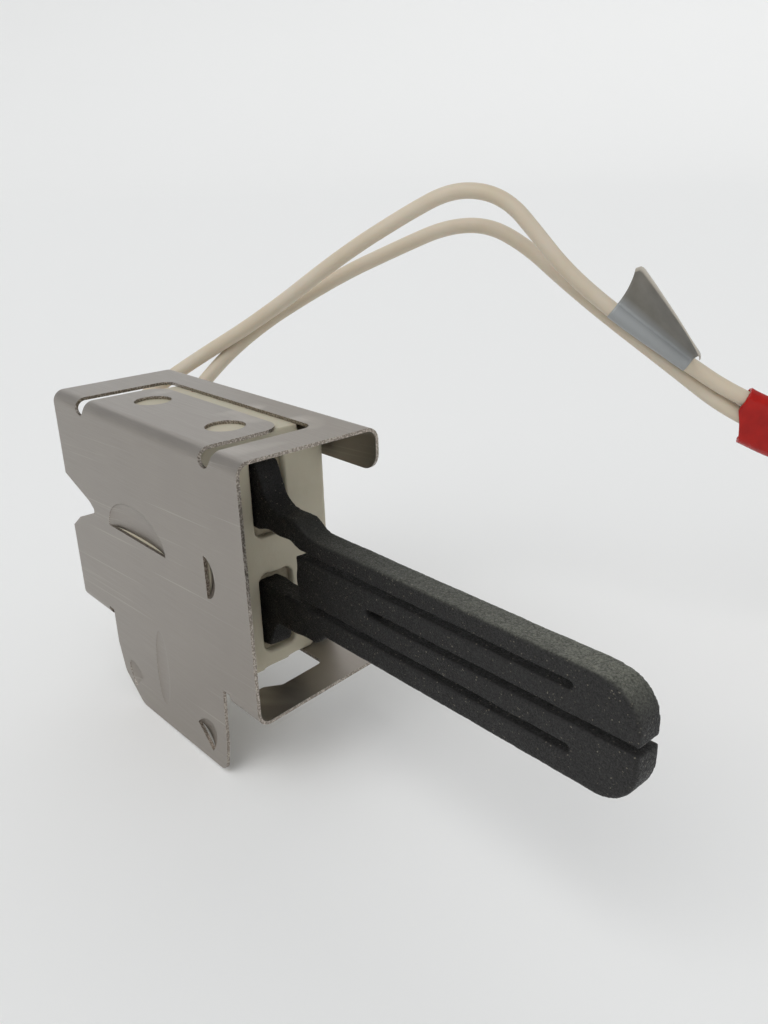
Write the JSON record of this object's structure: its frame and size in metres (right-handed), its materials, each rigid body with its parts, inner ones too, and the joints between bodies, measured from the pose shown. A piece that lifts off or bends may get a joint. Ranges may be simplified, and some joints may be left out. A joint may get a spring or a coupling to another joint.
{
  "type": "hot-surface igniter",
  "caption": "Slotted silicon-carbide hot-surface igniter in a ceramic block and a folded steel bracket, with plugged leads.",
  "frame": {"origin": "on the outer face of the bracket's plate, in the middle of the mounting tail between its two locating bumps", "axes": "+X along the element to its tip, +Y from the plate's outer face into the ceramic block, +Z from the tail up to the top flange"},
  "size_m": [0.1449, 0.1009, 0.0725],
  "materials": {
    "bracket_steel": "satin",
    "steatite": "matte",
    "silicon_carbide": "matte",
    "cement": "matte",
    "sprayed_aluminium": "matte",
    "nickel": "satin",
    "lead_jacket": "satin",
    "label": "satin",
    "red_sleeve": "gloss",
    "nylon": "satin",
    "brass": "satin"
  },
  "bodies": {
    "root": {"bracket": "bracket_steel", "ceramic_holder": "steatite", "silicon_carbide_element": "silicon_carbide", "front_cement_upper": "cement", "front_cement_lower": "cement", "rear_cement_upper": "cement", "rear_cement_lower": "cement", "contact_pad_upper": "sprayed_aluminium", "contact_pad_lower": "sprayed_aluminium", "crimp_terminal_upper": "nickel", "crimp_terminal_lower": "nickel", "bare_strands_upper": "nickel", "bare_strands_lower": "nickel", "lead_a": "lead_jacket", "lead_b": "lead_jacket", "flag_label": "label", "shrink_sleeve": "red_sleeve", "plug_housing": "nylon", "plug_contact_a": "brass", "plug_contact_b": "brass", "plug_strands_a": "nickel", "plug_strands_b": "nickel"}
  },
  "joints": []
}
